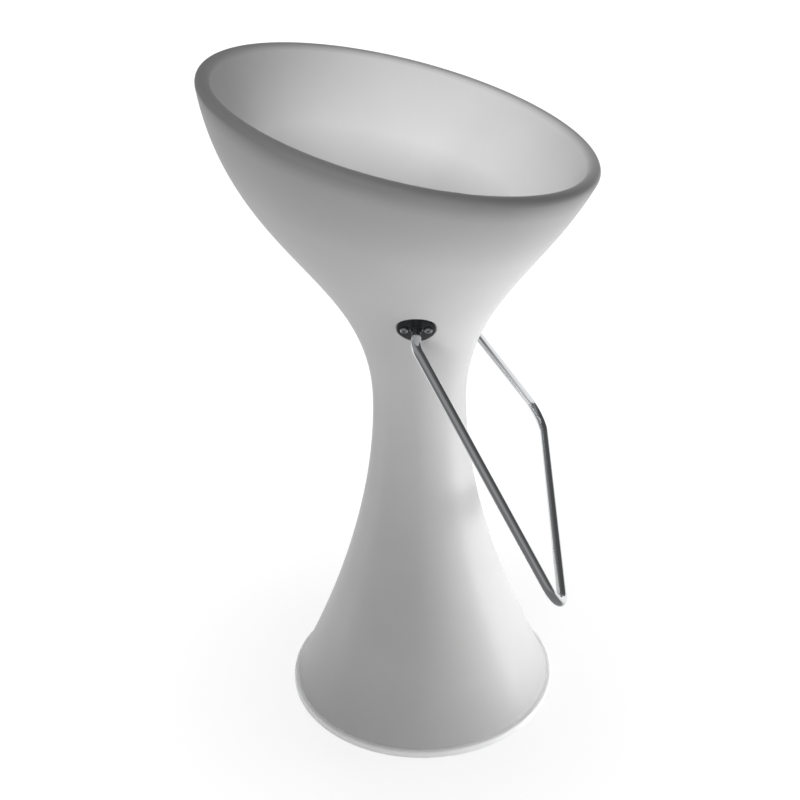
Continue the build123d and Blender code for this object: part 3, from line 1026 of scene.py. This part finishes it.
@dataclass
class Base:
    """Round plate under the foot, with its screws, sleeves and rubber pads."""

    plate_radius: float = 0.180
    bottom: float = 0.002
    top: float = 0.012
    edge_round: float = 0.0032
    edge_steps: int = 8
    opening_radius: float = 0.085
    rebate_radius: float = 0.0963
    rebate_top: float = 0.006
    spigot_radius: float = 0.1457
    spigot_wall: float = 0.003
    spigot_height: float = 0.005
    screw_ring: float = 0.158
    count: int = 6
    screw_recess_radius: float = 0.0056
    screw_recess_top: float = 0.0056
    screw_hole_radius: float = 0.0028
    pad_radius: float = 0.011
    pad_thickness: float = 0.004
    pad_gap: float = 0.0003
    pad_round: float = 0.0008
    pad_steps: int = 5
    boss_radius: float = 0.0045
    boss_top: float = 0.015
    tray_screw_ring: float = 0.0905
    tray_screw_count: int = 4
    tapping_radius: float = 0.00195
    tapping_top: float = 0.014
    insert_radius: float = 0.0045
    insert_bore_radius: float = 0.0025
    insert_length: float = 0.012
    overrun: float = 0.001

    def build_plate(self) -> None:
        """Turns the plate, rounds its edge and cuts its recesses."""
        up, inward = np.array([0.0, 1.0]), np.array([-1.0, 0.0])
        upper, _ = round_corner(np.array([self.plate_radius, self.top]), -up, inward, self.edge_round,
                                self.edge_steps)
        lower, _ = round_corner(np.array([self.plate_radius, self.bottom]), inward, up, self.edge_round,
                                self.edge_steps)
        inner = self.spigot_radius - self.spigot_wall
        rest = np.array([
            (self.spigot_radius, self.top), (self.spigot_radius, self.top + self.spigot_height),
            (inner, self.top + self.spigot_height), (inner, self.top), (self.opening_radius, self.top),
            (self.opening_radius, self.rebate_top), (self.rebate_radius, self.rebate_top),
            (self.rebate_radius, self.bottom),
        ])
        plate = turned(np.vstack([lower, upper, rest]), Sides.PLATE, closed=True)
        screws = ring_places(self.screw_ring, self.count)
        pads = ring_places(self.screw_ring, self.count, 180 / self.count)
        tray_screws = ring_places(self.tray_screw_ring, self.tray_screw_count)
        root = self.rebate_top + self.overrun / 2
        boss = cylinder(self.boss_radius, root, self.boss_top, sides=Sides.SHANK)
        combine(plate, Combine.ADD, repeated(boss, tray_screws))
        low = self.bottom - self.overrun
        drilled = (
            (self.screw_recess_radius, self.screw_recess_top, Sides.HOLE, screws),
            (self.screw_hole_radius, self.top + self.overrun, Sides.SHANK, screws),
            (self.pad_radius + self.pad_gap, self.pad_thickness, Sides.HEAD, pads),
            (self.tapping_radius, self.tapping_top, Sides.TAPPING, tray_screws),
            (self.opening_radius, self.boss_top + self.overrun, Sides.PLATE, [UNMOVED]),
        )
        for radius, high, sides, places in drilled:
            combine(plate, Combine.CUT, repeated(cylinder(radius, low, high, sides=sides), places))
        dress(plate, "plate_moulding", PLATE_PLASTIC, ["base_plate"])

    def build_pads(self) -> None:
        """Models one rubber pad with its rounded foot and copies it round the plate."""
        pad = cylinder(self.pad_radius, 0, self.pad_thickness)
        round_end(pad, self.pad_thickness / 2, False, self.pad_round, self.pad_steps)
        pads = repeated(pad, ring_places(self.screw_ring, self.count, 180 / self.count))
        dress(pads, "pads_rubber", PAD_RUBBER, ["foot_pads"])

    def build_fasteners(self) -> None:
        """Places the plate's screws, heads down, and the sleeves that they enter."""
        flipped = Matrix.Rotation(math.pi, 4, "X")
        places = ring_places(self.screw_ring, self.count, height=self.screw_recess_top)
        screws = Screw().build([place @ flipped for place in places])
        dress(screws, "plate_screw_set", ZINC, ["base_screws"])
        high = self.top + self.insert_length
        insert = sleeve(self.insert_radius, self.insert_bore_radius, self.top, high)
        sleeves = repeated(insert, ring_places(self.screw_ring, self.count))
        dress(sleeves, "plate_sleeves", BRASS, ["base_inserts"])

    def build(self) -> None:
        """Builds the plate, its pads and its fasteners."""
        self.build_plate()
        self.build_pads()
        self.build_fasteners()


@dataclass(frozen=True)
class UnitPart:
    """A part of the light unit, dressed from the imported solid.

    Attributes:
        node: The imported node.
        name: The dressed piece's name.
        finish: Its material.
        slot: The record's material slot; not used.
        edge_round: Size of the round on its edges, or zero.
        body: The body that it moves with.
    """

    node: str
    name: str
    finish: Finish
    slot: str
    edge_round: float = 0.0
    body: str = STOOL

    def build(self) -> None:
        """Merges a copy of the solid, eases its edges and dresses it."""
        piece = bpy.data.objects.new(self.name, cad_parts[self.node].data.copy())
        bpy.context.scene.collection.objects.link(piece)
        with editing(piece):
            bpy.ops.mesh.select_all(action="SELECT")
            bpy.ops.mesh.remove_doubles(threshold=COINCIDENT)
            bpy.ops.mesh.dissolve_limited(angle_limit=math.radians(FLAT_ANGLE))
        if self.edge_round:
            apply_modifier(piece, "BEVEL", width=self.edge_round, segments=2, limit_method="ANGLE",
                           angle_limit=math.radians(EASED_ANGLE))
        dress(piece, self.name, self.finish, [self.node], self.body)
        # Large flat faces keep their own normals, so that they don't shade like creased paper
        apply_modifier(piece, "WEIGHTED_NORMAL", keep_sharp=True)


@dataclass
class LightUnit:
    """Tray under the plate's opening, with the lamps, the battery, the button and the socket's flap."""

    parts: tuple[UnitPart, ...] = (
        UnitPart("light_tray", "tray_moulding", UNIT_PLASTIC, "unit_plastic", 0.3 * MM),
        UnitPart("tray_gasket", "tray_seal", PAD_RUBBER, "pad_rubber"),
        UnitPart("tray_screws", "tray_screw_set", ZINC, "screw_steel"),
        UnitPart("light_dome", "dome_moulding", OPAL, "dome_opal"),
        UnitPart("dome_screws", "dome_screw_set", ZINC, "screw_steel"),
        UnitPart("led_board", "lamp_board_disc", LAMP_BOARD, "lamp_board"),
        UnitPart("led_board_screws", "lamp_board_screw_set", ZINC, "screw_steel"),
        UnitPart("leds", "lamp_set", PHOSPHOR, "lamp_yellow", 0.3 * MM),
        UnitPart("control_board", "driver_board_blank", DRIVER_BOARD, "driver_board"),
        UnitPart("control_board_screws", "driver_board_screw_set", ZINC, "screw_steel"),
        UnitPart("battery_holder", "battery_cradle", UNIT_BLACK, "unit_black", 0.3 * MM),
        UnitPart("battery_cells", "battery_set", CELL_SLEEVE, "cell_sleeve", 0.8 * MM),
        UnitPart("charge_socket", "socket_barrel", UNIT_BLACK, "unit_black"),
        UnitPart("button_switch", "switch_block", UNIT_BLACK, "unit_black", 0.2 * MM),
        UnitPart("switch_plunger", "plunger_pin", UNIT_BLACK, "unit_black", 0.2 * MM, "power_button"),
        UnitPart("power_button", "button_cap", BUTTON_PLASTIC, "button_plastic", 0.0, "power_button"),
        UnitPart("port_plug", "socket_flap", FLAP_RUBBER, "flap_rubber", 0.2 * MM, "port_plug"),
        UnitPart("plug_anchor", "flap_anchor", FLAP_RUBBER, "flap_rubber", 0.2 * MM),
    )

    def build(self) -> None:
        """Dresses every part of the unit."""
        for part in self.parts:
            part.build()


@dataclass(frozen=True)
class Lamp:
    """Soft lamp that isn't seen in the chrome.

    Attributes:
        name: The lamp's name.
        place: Where it stands.
        aim: The point that it faces.
        power: Its power, in watts.
        size: Width of a softbox, or of a spot's lens.
        cone: A spot's full angle in degrees, or zero for a softbox.
    """

    name: str
    place: tuple[float, float, float]
    aim: tuple[float, float, float]
    power: float
    size: float
    cone: float = 0.0

    def build(self) -> None:
        """Adds the lamp."""
        bpy.ops.object.light_add(type="SPOT" if self.cone else "AREA", location=self.place)
        lamp = bpy.context.object
        lamp.name = self.name
        lamp.visible_camera = lamp.visible_glossy = False
        lamp.data.energy = self.power
        if self.cone:
            lamp.data.spot_size, lamp.data.spot_blend = math.radians(self.cone), 1.0
            lamp.data.shadow_soft_size = self.size
        else:
            lamp.data.size = self.size
        aim = Vector(self.aim) - Vector(self.place)
        lamp.rotation_euler = aim.to_track_quat("-Z", "Y").to_euler()


@dataclass
class Studio:
    """White studio: a pale floor, soft light, and the camera.

    Attributes:
        shadow_start: Distance from the axis up to which the floor's shadow is deepest.
        shadow_radius: Distance at which the floor has become plain white.
        shadow_share: Share of plain white in the deepest shadow.
        floor_glow: How bright the plain floor is.
        dim_glow: How bright the chrome mirrors it on the side that the photograph was taken from.
        sheet_edge: Where that dim part of the floor ends, along X.
        sheet_fade: Width over which it brightens.
        camera_swing: Heading of the view, in degrees from +X.
        camera_dip: How far the view looks down, in degrees.
        camera_roll: How far the camera is rolled, in degrees.
        mirrored_dark: Direction in which the sky that the chrome mirrors is darkest.
    """

    floor_radius: float = 6.0
    floor_sides: int = 96
    shadow_start: float = 0.15
    shadow_radius: float = 0.6
    shadow_share: float = 0.74
    floor_glow: float = 1.1
    dim_glow: float = 0.22
    sheet_edge: float = -0.15
    sheet_fade: float = 0.2
    camera_place: tuple[float, float, float] = (-1.6060, -0.0434, 1.3137)
    camera_swing: float = 2.43
    camera_dip: float = 28.63
    camera_roll: float = 1.12
    lens: float = 64.98
    sky_strength: float = 0.28
    mirrored_dark: tuple[float, float, float] = (0.3, -0.5, 0.8)
    lamps: tuple[Lamp, ...] = (
        Lamp("softbox_right", (0, -0.8, 0.06), (0, 0, 0.15), 2.5, size=0.6),
        Lamp("spot_right", (0, -0.8, 0.06), (0, 0, 0.27), 36.0, size=0.2, cone=76.0),
        Lamp("softbox_left", (0, 0.8, 0.06), (0, 0, 0.15), 0.8, size=0.6),
        Lamp("spot_left_low", (0, 0.8, 0.06), (0, 0, 0.2), 7.5, size=0.2, cone=72.0),
        Lamp("softbox_front", (-1.0, -0.2, 0.03), (0, 0, 0.4), 5.2, size=0.5),
        Lamp("spot_under", (-1.0, -0.2, 0.03), (-0.1, 0, 0.66), 15.0, size=0.2, cone=60.0),
        Lamp("softbox_back", (1.3, 0, 0.05), (0, 0, 0.5), 8.0, size=0.5),
        Lamp("softbox_back_high", (1.7, 0.1, 1.8), (0, 0, 0.5), 8.0, size=0.7),
        Lamp("spot_front", (-1.0, -0.2, 2.0), (0.13, -0.02, 0.78), 82.0, size=0.1, cone=22.0),
        Lamp("spot_left", (-0.85, 0.6, 2.0), (0.02, -0.02, 0.76), 44.0, size=0.1, cone=24.0),
        Lamp("spot_crest", (-0.3, -1.5, 1.3), (0.0, -0.26, 0.755), 60.0, size=0.1, cone=12.0),
    )

    def build_floor(self) -> None:
        """Pale floor that keeps a soft shadow near the stool and is plain white further out."""
        bpy.ops.mesh.primitive_circle_add(vertices=self.floor_sides, radius=self.floor_radius,
                                          fill_type="NGON")
        floor = bpy.context.object
        floor.name = "studio_floor"
        material = bpy.data.materials.new("studio paper, matt white")
        tree = emptied(material)
        paper = node(tree, "BsdfDiffuse", {"Color": linear("#E8E8E8")})
        path = node(tree, "LightPath")
        place = node(tree, "TexCoord").outputs["Object"]
        away = node(tree, "VectorMath", {0: place}, operation="LENGTH")
        across = node(tree, "SeparateXYZ", {"Vector": place})
        mirrored = node(tree, "MapRange", {
            "Value": across.outputs["X"], "From Min": self.sheet_edge,
            "From Max": self.sheet_edge + self.sheet_fade,
            "To Min": self.dim_glow, "To Max": self.floor_glow,
        })
        level = node(tree, "Mix", {
            "Factor": path.outputs["Is Glossy Ray"], NUMBER_A: self.floor_glow,
            NUMBER_B: mirrored.outputs["Result"],
        })
        white = node(tree, "Emission", {
            "Color": linear("#FFFFFF"), "Strength": level.outputs[NUMBER_RESULT],
        })
        fade = node(tree, "MapRange", {
            "Value": away.outputs["Value"], "From Min": self.shadow_start, "From Max": self.shadow_radius,
            "To Min": self.shadow_share, "To Max": 1.0,
        })
        seen = node(tree, "Math", {
            0: path.outputs["Is Camera Ray"], 1: path.outputs["Is Glossy Ray"],
        }, operation="MAXIMUM")
        shown = node(tree, "Math", {
            0: seen.outputs["Value"], 1: path.outputs["Is Transmission Ray"],
        }, operation="MAXIMUM")
        share = node(tree, "Math", {
            0: shown.outputs["Value"], 1: fade.outputs["Result"],
        }, operation="MULTIPLY")
        surface = node(tree, "MixShader", {
            0: share.outputs["Value"], 1: paper.outputs["BSDF"], 2: white.outputs["Emission"],
        })
        node(tree, "OutputMaterial", {"Surface": surface.outputs["Shader"]})
        floor.data.materials.append(material)

    def build_sky(self) -> None:
        """Even sky: white where it is seen, softer as light, with a dark side for the chrome."""
        world = bpy.data.worlds.new("studio")
        bpy.context.scene.world = world
        tree = emptied(world)
        path = node(tree, "LightPath")
        seen = node(tree, "Math", {
            0: path.outputs["Is Camera Ray"], 1: path.outputs["Is Transmission Ray"],
        }, operation="MAXIMUM")
        light = node(tree, "Background", {"Color": linear("#FFFFFF"), "Strength": self.sky_strength})
        white = node(tree, "Background", {"Color": linear("#FFFFFF"), "Strength": 1.0})
        around = node(tree, "TexCoord").outputs["Generated"]
        toward = node(tree, "VectorMath", {
            0: around, 1: Vector(self.mirrored_dark).normalized(),
        }, operation="DOT_PRODUCT")
        shade = node(tree, "ValToRGB", {"Fac": toward.outputs["Value"]}, stops=[
            (0.1, "#A2A2A2"), (0.4, "#7A7A7A"), (0.75, "#565656"),
        ])
        mirrored = node(tree, "Background", {"Color": shade.outputs["Color"], "Strength": 1.0})
        lit = node(tree, "MixShader", {
            0: path.outputs["Is Glossy Ray"], 1: light.outputs["Background"],
            2: mirrored.outputs["Background"],
        })
        sky = node(tree, "MixShader", {
            0: seen.outputs["Value"], 1: lit.outputs["Shader"], 2: white.outputs["Background"],
        })
        node(tree, "OutputWorld", {"Surface": sky.outputs["Shader"]})

    def build_camera(self) -> None:
        """Camera at the photograph's angle, tipped and rolled as it was."""
        swing, dip = math.radians(self.camera_swing), math.radians(self.camera_dip)
        forward = Vector((math.cos(swing) * math.cos(dip), math.sin(swing) * math.cos(dip), -math.sin(dip)))
        right = forward.cross(Vector((0, 0, 1))).normalized()
        up = right.cross(forward)
        turn = Matrix((right, up, -forward)).transposed()
        turn = turn @ Matrix.Rotation(-math.radians(self.camera_roll), 3, "Z")
        bpy.ops.object.camera_add(location=self.camera_place, rotation=turn.to_euler())
        camera = bpy.context.object
        camera.data.lens = self.lens
        bpy.context.scene.camera = camera

    def build(self) -> None:
        """Sets up the floor, the light and the camera."""
        bpy.context.scene.view_settings.view_transform = "Standard"
        self.build_floor()
        self.build_sky()
        for lamp in self.lamps:
            lamp.build()
        self.build_camera()


def main() -> None:
    """Builds the stool's sub-assemblies in order, then the studio round it."""
    shell = BodyShell()
    for assembly in (shell, Footrest(shell), Base(), LightUnit(), Studio()):
        assembly.build()
        log.info("%s is built", type(assembly).__name__)


if __name__ == "__main__":
    main()
